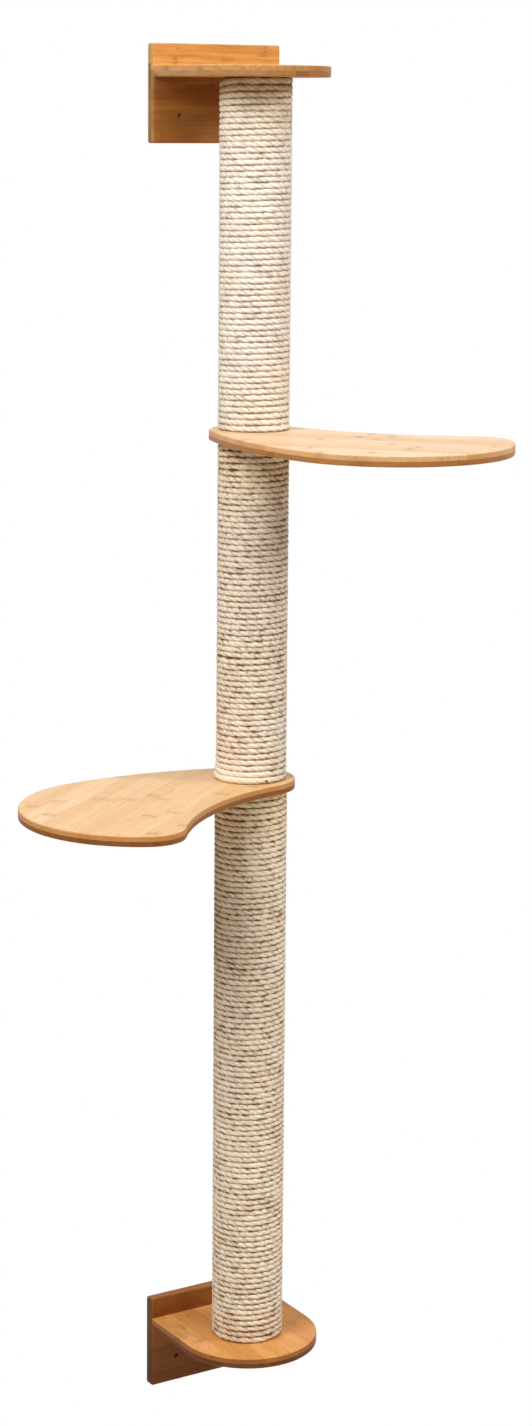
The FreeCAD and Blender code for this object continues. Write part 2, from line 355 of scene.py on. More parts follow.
platformWood = {
    "light": (0.80, 0.61, 0.41), "dark": (0.68, 0.44, 0.235), "warm": (0.78, 0.52, 0.30),
    "fibre": (0.50, 0.28, 0.115), "knot": (0.28, 0.14, 0.06),
    "stripWidth": 0.021, "stripContrast": 0.9, "grainContrast": 0.42, "mottle": 0.40,
    "knotSpacing": 0.24, "knotDepth": 0.75, "glueDepth": 0.12,
    "drift": 0.0, "driftFrom": -5, "driftTo": 5,
    "roughness": 0.42, "gloss": 0.22, "faceAxis": 2,
}
bracketWood = {
    "light": (0.82, 0.40, 0.115), "dark": (0.52, 0.19, 0.038), "warm": (0.76, 0.31, 0.065),
    "fibre": (0.38, 0.13, 0.026), "knot": (0.17, 0.06, 0.015),
    "stripWidth": 0.020, "stripContrast": 0.85, "grainContrast": 0.45, "mottle": 0.55,
    "knotSpacing": 0.26, "knotDepth": 0.6, "glueDepth": 0.15,
    "drift": 0.0, "driftFrom": -5, "driftTo": 5,
    "roughness": 0.40, "gloss": 0.14, "faceAxis": 2,
}


# wall plates, with the sizes of the screws that hold each shelf to its plate from behind

shelfScrew = {"shankRadius": 0.0025, "headRadius": 0.0049, "socketRadius": 0.0021, "socketSides": 4,
              "socketDepth": 0.0018, "length": 0.050, "spacing": 0.130, "sink": 0.0003, "backMouth": 0.0053}
wallPlate = {"cornerRadius": 0.003, "frontEase": 0.0016, "backEase": 0.0006,
             "holeRadius": 0.00325, "holeSpacing": 0.12, "holeDrop": 0.097, "holeEase": 0.0004}


def addWallPlate(name, node, shelfNode, wood):
    low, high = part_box(node)
    shelfLow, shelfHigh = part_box(shelfNode)
    size = high - low
    deselectAll()
    bpy.ops.mesh.primitive_cube_add(size=1, location=(low + high) / 2)
    plate = bpy.context.object
    plate.name = name
    plate.scale = size
    bpy.ops.object.transform_apply(location=True, rotation=True, scale=True)
    startEditing(plate)
    selectEdges(plate, lambda a, b: abs(a.y - b.y) > size.y / 2)
    bpy.ops.mesh.bevel(offset=wallPlate["cornerRadius"], segments=6, affect="EDGES")
    for face, ease in ((low.y, wallPlate["frontEase"]), (high.y, wallPlate["backEase"])):
        selectEdges(plate, lambda a, b: abs(a.y - face) < touching and abs(b.y - face) < touching)
        bpy.ops.mesh.bevel(offset=ease, segments=3, affect="EDGES")
    deselectAll()
    holeHeight = high.z - wallPlate["holeDrop"]
    for side in (-1, 1):
        hole = Vector((side * wallPlate["holeSpacing"] / 2, (low.y + high.y) / 2, holeHeight))
        drill(plate, wallPlate["holeRadius"], hole, (0, 1, 0))
        startEditing(plate)
        selectEdges(plate, lambda a, b: all(abs(p.y - low.y) < touching and (p.xz - hole.xz).length
                                            < wallPlate["holeRadius"] * 1.01 for p in (a, b)))
        bpy.ops.mesh.bevel(offset=wallPlate["holeEase"], segments=2, affect="EDGES")
        deselectAll()
    for side in (-1, 1):
        screw = Vector((side * shelfScrew["spacing"] / 2, high.y, (shelfLow.z + shelfHigh.z) / 2))
        countersink(plate, shelfScrew["backMouth"], screw, (0, 1, 0))
    settle(plate)
    look = dict(wood, centre=(low + high) / 2, turn=(math.radians(-90), 0, 0), faceAxis=1)
    plate.data.materials.append(addBamboo(name + "Bamboo", look))
    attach(plate, "root")
    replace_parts(plate, node)


# the upper plate's strips below the shelf are darker: painted shade under the shelf
upperPlateWood = dict(bracketWood, seed=7.7, edgeUpper=(0.80, 0.95, 1.20), edgeLower=(0.66, 0.75, 0.95),
                      drift=0.8, driftFrom=2, driftTo=1, light=(0.80, 0.43, 0.115), dark=(0.17, 0.041, 0.007))
# the lower plate is darker than the other bracket wood, partly its own tone and partly painted shade; its
# strips darken towards the bottom as painted shade below the shelf, and its top edge takes a painted
# highlight
lowerPlateWood = dict(bracketWood, seed=3.1, paintedTopLight=(1.25, 1.15, 1.0),
                      edgeUpper=(0.42, 0.46, 0.55), edgeLower=(0.34, 0.38, 0.46),
                      light=(0.40, 0.155, 0.034), dark=(0.11, 0.029, 0.005), warm=(0.33, 0.115, 0.022),
                      fibre=(0.13, 0.045, 0.010), drift=0.7, driftFrom=1, driftTo=-1)
addWallPlate("lowerWallPlate", "lower_wall_plate", "lower_bracket_shelf", lowerPlateWood)
addWallPlate("upperWallPlate", "upper_wall_plate", "upper_bracket_shelf", upperPlateWood)
print("wall plates made")


# flat outlines drawn by spinning a point round one arc after another

def startOutline(name, point):
    deselectAll()
    bpy.ops.mesh.primitive_plane_add(size=0.001)
    outline = bpy.context.object
    outline.name = name
    bpy.ops.object.mode_set(mode="EDIT")
    bpy.ops.mesh.select_mode(type="VERT")
    bpy.ops.mesh.select_all(action="SELECT")
    bpy.ops.mesh.merge(type="CENTER")
    bpy.ops.transform.translate(value=point)
    return outline


def drawArc(centre, turn, steps):
    # turn in degrees, anticlockwise seen from above; the spin tool turns the other way without a window
    bpy.ops.mesh.spin(steps=steps, angle=math.radians(-turn), center=centre, axis=(0, 0, 1))


def drawLine(move):
    bpy.ops.mesh.extrude_region_move(TRANSFORM_OT_translate={"value": move})


def raiseOutline(outline, thickness):
    bpy.ops.mesh.select_all(action="SELECT")
    bpy.ops.mesh.remove_doubles(threshold=touching)
    bpy.ops.mesh.edge_face_add()
    bpy.ops.mesh.extrude_region_move(TRANSFORM_OT_translate={"value": (0, 0, thickness)})
    bpy.ops.mesh.select_all(action="SELECT")
    bpy.ops.mesh.normals_make_consistent(inside=False)
    bpy.ops.mesh.select_mode(type="EDGE")


# bracket shelves with a half-round front

bracketShelf = {"ease": 0.0020, "frontSteps": 72, "boltHoleRadius": 0.0041, "countersinkRadius": 0.0085}


def addBracketShelf(name, node, postSide, wood):
    # postSide is +1 where the post stands on the shelf and -1 where it hangs under it
    low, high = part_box(node)
    postCentre = Vector((0, low.y + high.x, low.z))
    shelf = startOutline(name, (low.x, high.y, low.z))
    drawLine((0, postCentre.y - high.y, 0))
    drawArc(postCentre, 180, bracketShelf["frontSteps"])
    drawLine((0, high.y - postCentre.y, 0))
    raiseOutline(shelf, high.z - low.z)
    for level in (low.z, high.z):
        selectEdges(shelf, lambda a, b: abs(a.z - level) < touching and abs(b.z - level) < touching
                    and min(a.y, b.y) < high.y - touching)
        bpy.ops.mesh.bevel(offset=bracketShelf["ease"], segments=3, affect="EDGES")
    deselectAll()
    drill(shelf, bracketShelf["boltHoleRadius"], postCentre, (0, 0, 1))
    farFace = Vector((postCentre.x, postCentre.y, low.z if postSide > 0 else high.z))
    countersink(shelf, bracketShelf["countersinkRadius"], farFace, (0, 0, -postSide))
    settle(shelf)
    look = dict(wood, centre=(low + high) / 2, turn=(0, 0, math.radians(90)))
    shelf.data.materials.append(addBamboo(name + "Bamboo", look))
    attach(shelf, "root")
    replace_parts(shelf, node)


upperShelfWood = dict(bracketWood, seed=5.9, edgeUpper=(0.68, 0.72, 0.84), edgeLower=(0.52, 0.54, 0.60),
                      light=(0.82, 0.46, 0.17), drift=0.7, driftFrom=-5, driftTo=2)
lowerShelfWood = dict(bracketWood, seed=1.3, edgeUpper=(0.50, 0.40, 0.32), edgeLower=(0.22, 0.15, 0.12),
                      light=(0.82, 0.45, 0.16), dark=(0.56, 0.235, 0.060), warm=(0.76, 0.34, 0.09))
addBracketShelf("lowerBracketShelf", "lower_bracket_shelf", 1, lowerShelfWood)
addBracketShelf("upperBracketShelf", "upper_bracket_shelf", -1, upperShelfWood)
print("bracket shelves made")


# kidney platforms: lobe along +X and waist on the +Y side before they are turned

kidney = {
    "collarRadius": 0.062, "lobeDistance": 0.229, "lobeRadius": 0.166, "tipRadius": 0.052,
    "waistRadius": 0.360, "waistAngle": 81, "flankRadius": 0.508,
    "ease": 0.0022, "studHoleRadius": 0.0041, "grainAngle": 19,
    "lowerAngle": -161.8, "upperAngle": -68.3,
    "degreesPerStep": 2.5, "fewestSteps": 8,
}


def circlesMeet(centreA, radiusA, centreB, radiusB):
    gap = centreB - centreA
    along = (radiusA ** 2 - radiusB ** 2 + gap.length ** 2) / (2 * gap.length)
    aside = math.sqrt(radiusA ** 2 - along ** 2)
    unit = gap.normalized()
    foot = centreA + unit * along
    square = Vector((-unit.y, unit.x, 0)) * aside
    return foot + square, foot - square


def heading(vector):
    return math.degrees(math.atan2(vector.y, vector.x))


def addPlatform(name, node, body, lobeAngle, wood):
    low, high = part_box(node)
    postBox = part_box("middle_post_tube")
    postCentre = (postBox[0] + postBox[1]) / 2
    collar = Vector((0, 0, 0))
    lobe = Vector((kidney["lobeDistance"], 0, 0))
    waist = polar(kidney["collarRadius"] + kidney["waistRadius"], kidney["waistAngle"])
    tip = max(circlesMeet(lobe, kidney["lobeRadius"] - kidney["tipRadius"],
                          waist, kidney["waistRadius"] + kidney["tipRadius"]), key=lambda p: p.x)
    flank = max(circlesMeet(collar, kidney["flankRadius"] - kidney["collarRadius"],
                            lobe, kidney["flankRadius"] - kidney["lobeRadius"]), key=lambda p: p.y)
    arcs = (
        (waist, heading(collar - waist), heading(tip - waist)),
        (tip, heading(waist - tip), heading(tip - lobe)),
        (lobe, heading(tip - lobe), heading(lobe - flank)),
        (flank, heading(lobe - flank), heading(collar - flank)),
        (collar, heading(collar - flank), kidney["waistAngle"] - 360),
    )
    board = startOutline(name, polar(kidney["collarRadius"], kidney["waistAngle"]))
    for centre, start, end in arcs:
        steps = round(abs(end - start) / kidney["degreesPerStep"])
        drawArc(centre, end - start, max(kidney["fewestSteps"], steps))
    thickness = high.z - low.z
    raiseOutline(board, thickness)
    for level in (0, thickness):
        selectEdges(board, lambda a, b: abs(a.z - level) < touching and abs(b.z - level) < touching)
        bpy.ops.mesh.bevel(offset=kidney["ease"], segments=3, affect="EDGES")
    deselectAll()
    drill(board, kidney["studHoleRadius"], (0, 0, 0), (0, 0, 1))
    board.rotation_euler.z = math.radians(lobeAngle)
    board.location = (postCentre.x, postCentre.y, low.z)
    settle(board)
    grain = math.radians(-(lobeAngle + kidney["grainAngle"]))
    look = dict(wood, centre=(postCentre.x, postCentre.y, (low.z + high.z) / 2), turn=(0, 0, grain))
    board.data.materials.append(addBamboo(name + "Bamboo", look))
    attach(board, body)
    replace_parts(board, node)


upperPlatformWood = dict(platformWood, seed=8.4, edgeUpper=(0.82, 0.66, 0.46), edgeLower=(0.50, 0.29, 0.12),
                         light=(0.80, 0.63, 0.44))
lowerPlatformWood = dict(platformWood, seed=2.2, edgeUpper=(0.74, 0.54, 0.34), edgeLower=(0.34, 0.17, 0.07),
                         light=(0.79, 0.57, 0.34), dark=(0.67, 0.41, 0.19), warm=(0.76, 0.48, 0.24))
addPlatform("lowerPlatform", "lower_platform", "lower_platform", kidney["lowerAngle"], lowerPlatformWood)
addPlatform("upperPlatform", "upper_platform", "upper_platform", kidney["upperAngle"], upperPlatformWood)
print("platforms made")


# sisal rope: three strands twisted together, wound in turns that lie side by side

rope = {
    "diameter": 0.0096, "pitch": 0.00798,
    "lay": 0.0350,                                  # length of one full twist of the strands
    "centreDepth": 0.0030,                          # rope's middle, below the winding's outside
    "pressed": 0.62,                                # wound under load, it is thinner than it is high
    "strandOffset": 0.24, "strandRadius": 0.76,     # shares of the rope's radius
    "pointsPerTurn": 120, "pointsPerStrand": 4,
    "startAngle": 112,                              # behind the post, where each turn steps up
    "stepShare": 0.30, "settledTurns": 5,
    "wander": 0.00050, "thicknessChange": 0.15, "twistChange": 1.8,
    "turnDrift": 0.8,                               # how far the noise moves on in each turn
    "gapEdge": 0.003, "gapReach": 0.03,             # where two turns stand apart
}
ropeNoise = {"wander": (1.3, 0, 0), "lift": (1.7, 9, 4), "swell": (4.1, 3, 7), "twist": (1.1, 5, 2)}


def strandReach(angle):
    # how far the rope's outline reaches, seen from its middle; a crown at every 120 degrees
    offset = rope["strandOffset"]
    fromCrown = (angle + math.pi / 3) % (2 * math.pi / 3) - math.pi / 3
    aside = offset * math.sin(fromCrown)
    return offset * math.cos(fromCrown) + math.sqrt(rope["strandRadius"] ** 2 - aside ** 2)


def addRopeSection():
    data = bpy.data.curves.new("ropeSection", "CURVE")
    data.dimensions = "2D"
    spline = data.splines.new("POLY")
    count = 3 * rope["pointsPerStrand"]
    spline.points.add(count - 1)
    for i in range(count):
        angle = math.pi / 3 + 2 * math.pi * i / count      # starts in a groove
        reach = strandReach(angle) * rope["diameter"] / 2
        spline.points[i].co = (reach * math.cos(angle), reach * math.sin(angle), 0, 1)
    spline.use_cyclic_u = True
    section = bpy.data.objects.new("ropeSection", data)
    bpy.context.scene.collection.objects.link(section)
    return section


def turnsClimbed(travelled, total):
    # whole turns lie flat at both ends of a post and step up behind it; between them the rope climbs steadily
    fromEnd = min(travelled, total - travelled)
    whole = math.floor(fromEnd)
    part = fromEnd - whole
    stepped = max(0.0, (part - 1 + rope["stepShare"]) / rope["stepShare"])
    stepped = stepped * stepped * (3 - 2 * stepped)
    loose = min(1.0, fromEnd / rope["settledTurns"])
    climbed = whole + (1 - loose) * stepped + loose * part
    return climbed if travelled <= total / 2 else total - climbed


def ropeDrift(kind, around, seed):
    scale, x, y = ropeNoise[kind]
    return noise.noise(around * scale + Vector((x, y, seed)))


def ropeSpot(look, low, high, travelled, total):
    # heading, distance from the axis, level, thickness and twist of the rope after some turns
    angle = math.radians(rope["startAngle"]) + 2 * math.pi * travelled
    around = Vector((math.cos(angle), math.sin(angle), travelled * rope["turnDrift"]))
    drift = {kind: ropeDrift(kind, around, look["seed"]) for kind in ropeNoise}
    pitch = (high - low - rope["diameter"]) / total
    climbed = turnsClimbed(travelled, total)
    fromGap = pitch * climbed - look["gapHeight"]
    parted = look["gap"] * math.tanh(fromGap / rope["gapEdge"]) * math.exp(-abs(fromGap) / rope["gapReach"])
    side = 0.5 + 0.5 * math.cos(angle - math.radians(look["flareAngle"]))
    flare = look["flare"] * side * math.exp(-climbed / look["flareTurns"])
    middle = look["radius"] - rope["centreDepth"]
    reach = middle + rope["wander"] * drift["wander"] + flare
    level = low + rope["diameter"] / 2 + pitch * climbed + rope["wander"] * drift["lift"] + parted
    level = min(max(level, low + rope["diameter"] / 2), high - rope["diameter"] / 2)
    run = 2 * math.pi * middle * travelled
    tilt = 2 * math.pi * run / rope["lay"] + rope["twistChange"] * drift["twist"]
    return angle, reach, level, 1 + rope["thicknessChange"] * drift["swell"], tilt


def pressTurns(winding, centre, middle):
    for vertex in winding.data.vertices:
        outward = (vertex.co - centre).to_2d()
        reach = middle + (outward.length - middle) * rope["pressed"]
        vertex.co.xy = centre.xy + outward.normalized() * reach


def addWinding(name, tube, first, last, look):
    # first and last are shares of the post's whole winding
    low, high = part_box(tube)
    centre = (low + high) / 2
    total = round((high.z - low.z - rope["diameter"]) / rope["pitch"])
    count = round(total * (last - first) * rope["pointsPerTurn"]) + 1
    data = bpy.data.curves.new(name, "CURVE")
    data.dimensions = "3D"
    data.twist_mode = "Z_UP"
    data.bevel_mode = "OBJECT"
    data.bevel_object = ropeSection
    data.use_fill_caps = True
    spline = data.splines.new("POLY")
    spline.points.add(count - 1)
    places, radii, tilts = [], [], []
    for i in range(count):
        travelled = total * first + i / rope["pointsPerTurn"]
        angle, reach, level, radius, tilt = ropeSpot(look, low.z, high.z, travelled, total)
        places += [centre.x + reach * math.cos(angle), centre.y + reach * math.sin(angle), level, 1]
        radii.append(radius)
        tilts.append(tilt)
    spline.points.foreach_set("co", places)
    spline.points.foreach_set("radius", radii)
    spline.points.foreach_set("tilt", tilts)
    winding = bpy.data.objects.new(name, data)
    bpy.context.scene.collection.objects.link(winding)
    takeUp(winding)
    bpy.ops.object.convert(target="MESH")
    winding = bpy.context.object
    bpy.ops.object.shade_smooth()
    pressTurns(winding, centre, look["radius"] - rope["centreDepth"])
    winding.data.materials.append(addSisal(total * (last - first), dict(look, centre=centre, top=high.z)))
    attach(winding, "root")
    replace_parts(winding, "post_ropes")


sisal = {
    "pale": (0.95, 0.92, 0.85), "straw": (0.92, 0.84, 0.70), "warm": (0.90, 0.77, 0.56),
    # groove: painted shade in the grooves between the strands; gap: painted shade deep between the turns
    "fibre": (0.62, 0.46, 0.26), "groove": (0.46, 0.29, 0.14), "gap": (0.23, 0.10, 0.030),
    "grooveShare": 0.22,
    "gapFull": 0.0015, "gapEnd": 0.00035,           # painted shade between the turns, from this far below the outside
    "ragged": 0.0026,                               # how far the painted shade's rim strays
    "paintedShade": (0.97, 0.90, 0.74),                   # painted warm shade close under a board
    "shadedFrom": 0.09, "shadedTo": 0.004,          # below the board
    "bumpStrength": 0.6, "bumpDepth": 0.0004,
}


def paintedGapShadeOf(tree, place, look):
    # painted shade deep between the turns, stronger in some places than in others
    fromAxis = vectorMath(tree, "SUBTRACT", place, look["centre"])
    flat = vectorMath(tree, "MULTIPLY", fromAxis, (1, 1, 0))
    reach = addNode(tree, "ShaderNodeVectorMath", {0: flat}, operation="LENGTH").outputs["Value"]
    rough = noiseOf(tree, place, 300, 3, 0.7)
    stray = calc(tree, "MULTIPLY_ADD", rough, sisal["ragged"], -sisal["ragged"] / 2)
    gap = remap(tree, calc(tree, "ADD", reach, stray), look["radius"] - sisal["gapFull"],
                look["radius"] - sisal["gapEnd"], 1.0, 0.0)
    broken = remap(tree, noiseOf(tree, place, 95, 3, 0.65), 0.39, 0.59, 0.30, 1.0)
    return calc(tree, "MULTIPLY", calc(tree, "MULTIPLY", gap, broken), look["gapShade"])


def addSisal(turns, look):
    material, tree, shader = newMaterial("sisal")
    uv = splitUp(tree, addNode(tree, "ShaderNodeUVMap").outputs[0])
    around, along = uv[1], calc(tree, "MULTIPLY", uv[0], turns)
    # a groove where the share round the rope is 0, 1/3 or 2/3
    strands = calc(tree, "MULTIPLY", around, 3)
    strand = calc(tree, "FLOOR", strands)
    inStrand = calc(tree, "ABSOLUTE", calc(tree, "SUBTRACT", calc(tree, "FRACT", strands), 0.5))
    groove = remap(tree, inStrand, 0.28, 0.5)
    fibrePlace = combine(tree, calc(tree, "MULTIPLY", around, 26), calc(tree, "MULTIPLY", along, 14), strand)
    fibres = noiseOf(tree, fibrePlace, 2.2, 3, 0.65)
    tuftPlace = combine(tree, strands, calc(tree, "MULTIPLY", along, 22), strand)
    tufts = noiseOf(tree, tuftPlace, 1.5, 2, 0.6)
    place = objectPlace(tree)
    blotches = noiseOf(tree, place, 26)

    colour = mixColour(tree, remap(tree, tufts, 0.3, 0.7), sisal["pale"], sisal["straw"])
    colour = mixColour(tree, remap(tree, blotches, 0.45, 0.75, 0, 0.5), colour, sisal["warm"])
    colour = mixColour(tree, remap(tree, fibres, 0.50, 0.70, 0, 0.8), colour, sisal["fibre"])
    # painted shade in the grooves between the strands
    colour = mixColour(tree, calc(tree, "MULTIPLY", groove, sisal["grooveShare"]), colour, sisal["groove"])
    colour = mixColour(tree, paintedGapShadeOf(tree, place, look), colour, sisal["gap"])
    colour = mixColour(tree, 1.0, colour, look["tint"], "MULTIPLY")
    # painted shade, darker and warmer, close under a board
    nearTop = remap(tree, splitUp(tree, place)[2], look["top"] - sisal["shadedFrom"],
                    look["top"] - sisal["shadedTo"])
    paintedShade = mixColour(tree, 1.0, colour, sisal["paintedShade"], "MULTIPLY")
    tree.links.new(mixColour(tree, nearTop, colour, paintedShade), shader.inputs["Base Color"])

    shader.inputs["Roughness"].default_value = 0.8
    shader.inputs["Specular IOR Level"].default_value = 0.08
    shader.inputs["Sheen Weight"].default_value = 0.03
    bump = addNode(tree, "ShaderNodeBump", {"Height": fibres, "Strength": sisal["bumpStrength"],
                                            "Distance": sisal["bumpDepth"]})
    tree.links.new(bump.outputs[0], shader.inputs["Normal"])
    return material


windingLook = {"radius": 0.050, "gapShade": 1.0,
               "flare": 0.0, "flareAngle": 160, "flareTurns": 1.6,      # the foot spreads to one side
               "gap": 0.0, "gapHeight": 0.0}                            # two turns stand apart there
# the upper winding's painted shade between the turns is lighter; the tints differ from winding to winding,
# the upper whiter and the lower warmer
upperLook = dict(windingLook, seed=11.3, tint=(0.98, 1.0, 1.045), gapShade=0.7)
middleLook = dict(windingLook, seed=5.2, tint=(1.0, 0.995, 0.98), flare=0.0050, gap=0.0010, gapHeight=0.172)
lowerLook = dict(windingLook, seed=2.9, tint=(1.0, 0.975, 0.91), radius=0.0515)
ropeSection = addRopeSection()
addWinding("upperWinding", "upper_post_tube", 0.0, 1.0, upperLook)
addWinding("middleWinding", "middle_post_tube", 0.0, 1.0, middleLook)
addWinding("lowerWindingTop", "lower_post_tube", 0.5, 1.0, lowerLook)
addWinding("lowerWindingFoot", "lower_post_tube", 0.0, 0.5, lowerLook)
bpy.data.objects.remove(ropeSection)
print("ropes wound")


# loose fibres that stand off the rope, and the tack that holds its end

fuzz = {
    "thickness": 0.00016, "shortest": 0.005, "longest": 0.016,
    "lowest": 0.0003, "highest": 0.0018,            # how far a fibre's middle stands off the rope
    "longestShare": 1.5,                            # fibres that stand off more are longer, up to this
    "climb": 0.35,                                  # how far a fibre leans up or down
    "rooted": 0.0008,                               # how deep in the rope a fibre starts
    "steps": 4, "bow": 0.62, "thinning": 0.6, "fromBoard": 0.0005,
}
fibreTufts = (
    # name, post, radius, fibres, part of its height, heading and spread, how far they stand off
    ("upperFibres", "upper_post_tube", 0.050, 520, (0.0, 1.0), (0, 360), 1.0),
    ("upperEndFibres", "upper_post_tube", 0.050, 26, (0.955, 0.995), (-168, 34), 3.2),
    ("middleFibres", "middle_post_tube", 0.050, 520, (0.0, 1.0), (0, 360), 1.0),
    ("lowerFibres", "lower_post_tube", 0.0515, 520, (0.0, 1.0), (0, 360), 1.0),
)


def addLooseSisal():
    material, tree, shader = newMaterial("looseSisal")
    shade = remap(tree, noiseOf(tree, objectPlace(tree), 160, 2, 0.6), 0.35, 0.65)
    tree.links.new(mixColour(tree, shade, sisal["pale"], sisal["fibre"]), shader.inputs["Base Color"])
    shader.inputs["Roughness"].default_value = 0.7
    return material


def addFibres(name, tube, radius, count, part, fan, standOff):
    low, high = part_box(tube)
    centre = (low + high) / 2
    chance = random.Random(name)
    data = bpy.data.curves.new(name, "CURVE")
    data.dimensions = "3D"
    data.bevel_depth = fuzz["thickness"] / 2
    data.bevel_resolution = 0
    for i in range(count):
        angle = math.radians(fan[0] + (chance.random() - 0.5) * fan[1])
        level = low.z + (high.z - low.z) * chance.uniform(*part)
        length = chance.uniform(fuzz["shortest"], fuzz["longest"]) * min(fuzz["longestShare"], standOff)
        rise = chance.uniform(fuzz["lowest"], fuzz["highest"]) * standOff
        climb = chance.uniform(-fuzz["climb"], fuzz["climb"]) * length
        turning = chance.choice((-1, 1)) * length / radius
        spline = data.splines.new("POLY")
        spline.points.add(fuzz["steps"])
        for k in range(fuzz["steps"] + 1):
            share = k / fuzz["steps"]
            bow = math.sin(share * math.pi * fuzz["bow"])
            reach = radius - fuzz["rooted"] + (rise + fuzz["rooted"]) * bow
            height = level + climb * share * share
            height = min(max(height, low.z + fuzz["fromBoard"]), high.z - fuzz["fromBoard"])
            spot = centre.to_2d() + polar(reach, math.degrees(angle + turning * share)).to_2d()
            spline.points[k].co = (spot.x, spot.y, height, 1)
            spline.points[k].radius = 1 - fuzz["thinning"] * share
    fibres = bpy.data.objects.new(name, data)
    bpy.context.scene.collection.objects.link(fibres)
    takeUp(fibres)
    bpy.ops.object.convert(target="MESH")
    fibres = bpy.context.object
    fibres.data.materials.append(looseSisal)
    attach(fibres, "root")


looseSisal = addLooseSisal()
for tuft in fibreTufts:
    addFibres(*tuft)

tack = {"heading": -96, "height": 0.0045, "headRadius": 0.0021, "headDepth": 0.0009, "reach": 0.0506,
        "ease": 0.7, "pinLength": 0.006, "pinShare": 0.2}


def addTack():
    low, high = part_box("middle_post_tube")
    outward = polar(1, tack["heading"])
    head = (low + high) / 2 + outward * tack["reach"]
    head.z = low.z + tack["height"]
    deselectAll()
    bpy.ops.mesh.primitive_cylinder_add(vertices=20, radius=tack["headRadius"], depth=tack["headDepth"],
                                        location=head, rotation=outward.to_track_quat("Z", "Y").to_euler())
    piece = bpy.context.object
    piece.name = "ropeTack"
    bpy.ops.object.transform_apply(location=True, rotation=True, scale=True)
    startEditing(piece)
    outerFace = head + outward * tack["headDepth"] / 2
    selectEdges(piece, lambda a, b: all(abs((p - outerFace).dot(outward)) < touching for p in (a, b)))
    bpy.ops.mesh.bevel(offset=tack["headDepth"] * tack["ease"], segments=3, affect="EDGES")
    selectFaces(piece, lambda spot: (spot - outerFace + outward * tack["headDepth"]).length < 1e-4)
    bpy.ops.mesh.extrude_region_move(TRANSFORM_OT_translate={"value": -outward * tack["pinLength"]})
    bpy.ops.transform.resize(value=[tack["pinShare"]] * 3)
    deselectAll()
    settle(piece, 30)
    material, tree, shader = newMaterial("darkSteel")
    dullness = noiseOf(tree, objectPlace(tree), 600, 2, 0.6)
    tree.links.new(mixColour(tree, dullness, (0.10, 0.09, 0.085), (0.04, 0.035, 0.03)),
                   shader.inputs["Base Color"])
    shader.inputs["Metallic"].default_value = 1.0
    shader.inputs["Roughness"].default_value = 0.45
    piece.data.materials.append(material)
    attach(piece, "root")


addTack()
print("loose fibres and tack added")


# steel, card and plain wood of the pieces inside

def addSteel():
    material, tree, shader = newMaterial("zincSteel")
    smears = noiseOf(tree, objectPlace(tree), 120, 3, 0.6)
    colour = mixColour(tree, smears, (0.62, 0.63, 0.65), (0.48, 0.49, 0.50))
    tree.links.new(colour, shader.inputs["Base Color"])
    tree.links.new(remap(tree, smears, 0.3, 0.7, 0.25, 0.45), shader.inputs["Roughness"])
    shader.inputs["Metallic"].default_value = 1.0
    return material


def addCard():
    material, tree, shader = newMaterial("card")
    pulp = noiseOf(tree, objectPlace(tree), 300, 3, 0.6)
    colour = mixColour(tree, pulp, (0.42, 0.31, 0.20), (0.30, 0.21, 0.13))
    tree.links.new(colour, shader.inputs["Base Color"])
    shader.inputs["Roughness"].default_value = 0.9
    return material


def addPlugWood():
    material, tree, shader = newMaterial("plugWood")
    chips = noiseOf(tree, objectPlace(tree), 450, 4, 0.7)
    colour = mixColour(tree, chips, (0.60, 0.45, 0.29), (0.42, 0.29, 0.17))
    tree.links.new(colour, shader.inputs["Base Color"])
    shader.inputs["Roughness"].default_value = 0.85
    return material


bracketBolt = {"shankRadius": 0.004, "headRadius": 0.008, "socketRadius": 0.0029, "socketSides": 6,
               "socketDepth": 0.0028}


def addCountersunk(name, headFace, end, size):
    # a countersunk fastener from its head's flat face to its far end
    inward = (end - headFace).normalized()
    headHeight = size["headRadius"] - size["shankRadius"]
    neck = headFace + inward * headHeight
    turn = Vector((0, 0, 1)).rotation_difference(inward).to_euler()
    deselectAll()
    bpy.ops.mesh.primitive_cylinder_add(vertices=32, radius=size["shankRadius"], depth=(end - neck).length,
                                        location=(neck + end) / 2, rotation=turn)
    fastener = bpy.context.object
    fastener.name = name
    bpy.ops.object.transform_apply(location=True, rotation=True, scale=True)
    startEditing(fastener, "FACE")
    selectFaces(fastener, lambda spot: (spot - neck).length < 1e-4)
    bpy.ops.mesh.extrude_region_move(TRANSFORM_OT_translate={"value": -inward * headHeight})
    spread = size["headRadius"] / size["shankRadius"]
    bpy.ops.transform.resize(value=[1 if abs(share) > 0.5 else spread for share in inward])
    deselectAll()
    drill(fastener, size["socketRadius"], headFace, inward, 2 * size["socketDepth"], size["socketSides"])
    settle(fastener, 30)
    fastener.data.materials.append(slotMaterials["zinc_steel"])
    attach(fastener, "root")
    return fastener


def addBracketBolt(name, node, side):
    # side is where the head is, +1 at the top or -1 at the bottom
    low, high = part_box(node)
    ends = [Vector(((low.x + high.x) / 2, (low.y + high.y) / 2, level)) for level in (low.z, high.z)]
    headFace, end = ends[::-1] if side > 0 else ends
    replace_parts(addCountersunk(name, headFace, end, bracketBolt), node)


def addShelfScrews(name, plateNode, shelfNode):
    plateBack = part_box(plateNode)[1].y
    shelfLow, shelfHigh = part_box(shelfNode)
    for side in (-1, 1):
        headFace = Vector((side * shelfScrew["spacing"] / 2, plateBack - shelfScrew["sink"],
                           (shelfLow.z + shelfHigh.z) / 2))
        end = headFace - Vector((0, shelfScrew["length"], 0))
        addCountersunk(name + ("Left" if side < 0 else "Right"), headFace, end, shelfScrew)


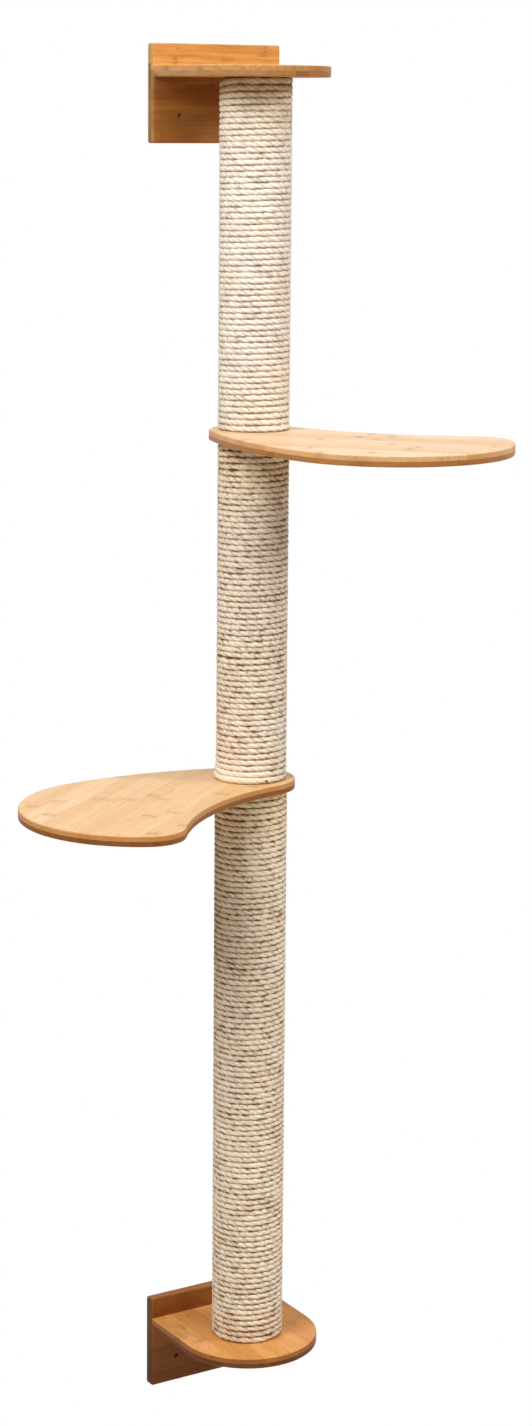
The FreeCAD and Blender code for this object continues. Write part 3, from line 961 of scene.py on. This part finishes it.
slotMaterials = {"zinc_steel": addSteel(), "card": addCard(), "plug_wood": addPlugWood()}
addBracketBolt("lowerBracketBolt", "lower_bracket_bolt", -1)
addBracketBolt("upperBracketBolt", "upper_bracket_bolt", 1)
addShelfScrews("lowerShelfScrew", "lower_wall_plate", "lower_bracket_shelf")
addShelfScrews("upperShelfScrew", "upper_wall_plate", "upper_bracket_shelf")
for part in frame["record"]["subparts"]:
    material = slotMaterials.get(part["material_slot"])
    if material:
        node = frame["nodes"][part["node"]]
        node.data.materials.clear()
        node.data.materials.append(material)
print("inner pieces finished")


# floor, light and background

stage = {"floorLevel": -0.75, "floorSize": 12, "fadeFrom": 0.2, "fadeTo": 0.9, "nearWhite": 0.55,
         "world": 0.12, "ambient": (1.0, 0.54, 0.20), "aim": (0, -0.1, 0.9)}


def addFloor():
    deselectAll()
    bpy.ops.mesh.primitive_plane_add(size=stage["floorSize"], location=(0, 0, stage["floorLevel"]))
    floor = bpy.context.object
    floor.name = "floor"
    bpy.ops.object.transform_apply(location=True, rotation=True, scale=True)
    material, tree, shader = newMaterial("paleFloor")
    shader.inputs["Base Color"].default_value = (0.9, 0.9, 0.9, 1)
    shader.inputs["Roughness"].default_value = 0.8
    # close under the object the floor keeps its shadow; further off it fades into white
    flat = vectorMath(tree, "MULTIPLY", objectPlace(tree), (1, 1, 0))
    distance = addNode(tree, "ShaderNodeVectorMath", {0: flat}, operation="LENGTH").outputs["Value"]
    far = remap(tree, distance, stage["fadeFrom"], stage["fadeTo"], stage["nearWhite"], 1.0)
    seen = addNode(tree, "ShaderNodeLightPath").outputs["Is Camera Ray"]
    white = addNode(tree, "ShaderNodeEmission", {"Color": (1, 1, 1, 1), "Strength": 1.0})
    mix = addNode(tree, "ShaderNodeMixShader", {0: calc(tree, "MULTIPLY", far, seen)})
    tree.links.new(shader.outputs[0], mix.inputs[1])
    tree.links.new(white.outputs[0], mix.inputs[2])
    tree.links.new(mix.outputs[0], tree.nodes["Material Output"].inputs["Surface"])
    floor.data.materials.append(material)


def addWorld():
    world = bpy.data.worlds.new("studio")
    bpy.context.scene.world = world
    world.use_nodes = True
    tree = world.node_tree
    background = tree.nodes["Background"]
    rays = addNode(tree, "ShaderNodeLightPath")
    direct = calc(tree, "MAXIMUM", rays.outputs["Is Camera Ray"],
                  calc(tree, "MAXIMUM", rays.outputs["Is Glossy Ray"], rays.outputs["Is Transmission Ray"]))
    tree.links.new(mixColour(tree, direct, stage["ambient"], (1, 1, 1)), background.inputs["Color"])
    tree.links.new(remap(tree, direct, 0, 1, stage["world"], 1.0), background.inputs["Strength"])


# heading and rise, in degrees, say where a lamp stands, seen from the point that it lights
lamps = (
    {"name": "leftSoftbox", "heading": -165, "rise": 42, "distance": 4.0, "size": 1.7, "power": 124},
    {"name": "frontSoftbox", "heading": -106, "rise": 58, "distance": 5.0, "size": 2.2, "power": 98},
    {"name": "rightSoftbox", "heading": -47, "rise": 31, "distance": 8, "size": 2.0, "power": 318},
)


def addLamp(lamp):
    data = bpy.data.lights.new(lamp["name"], "AREA")
    data.shape = "SQUARE"
    data.size = lamp["size"]
    data.energy = lamp["power"]
    light = bpy.data.objects.new(lamp["name"], data)
    bpy.context.scene.collection.objects.link(light)
    rise = math.radians(lamp["rise"])
    away = polar(math.cos(rise), lamp["heading"]) + Vector((0, 0, math.sin(rise)))
    light.location = Vector(stage["aim"]) + away * lamp["distance"]
    light.rotation_euler = (-away).to_track_quat("-Z", "Y").to_euler()


addFloor()
addWorld()
for lamp in lamps:
    addLamp(lamp)
bpy.context.scene.view_settings.view_transform = "Standard"
print("stage lit")

deselectAll()
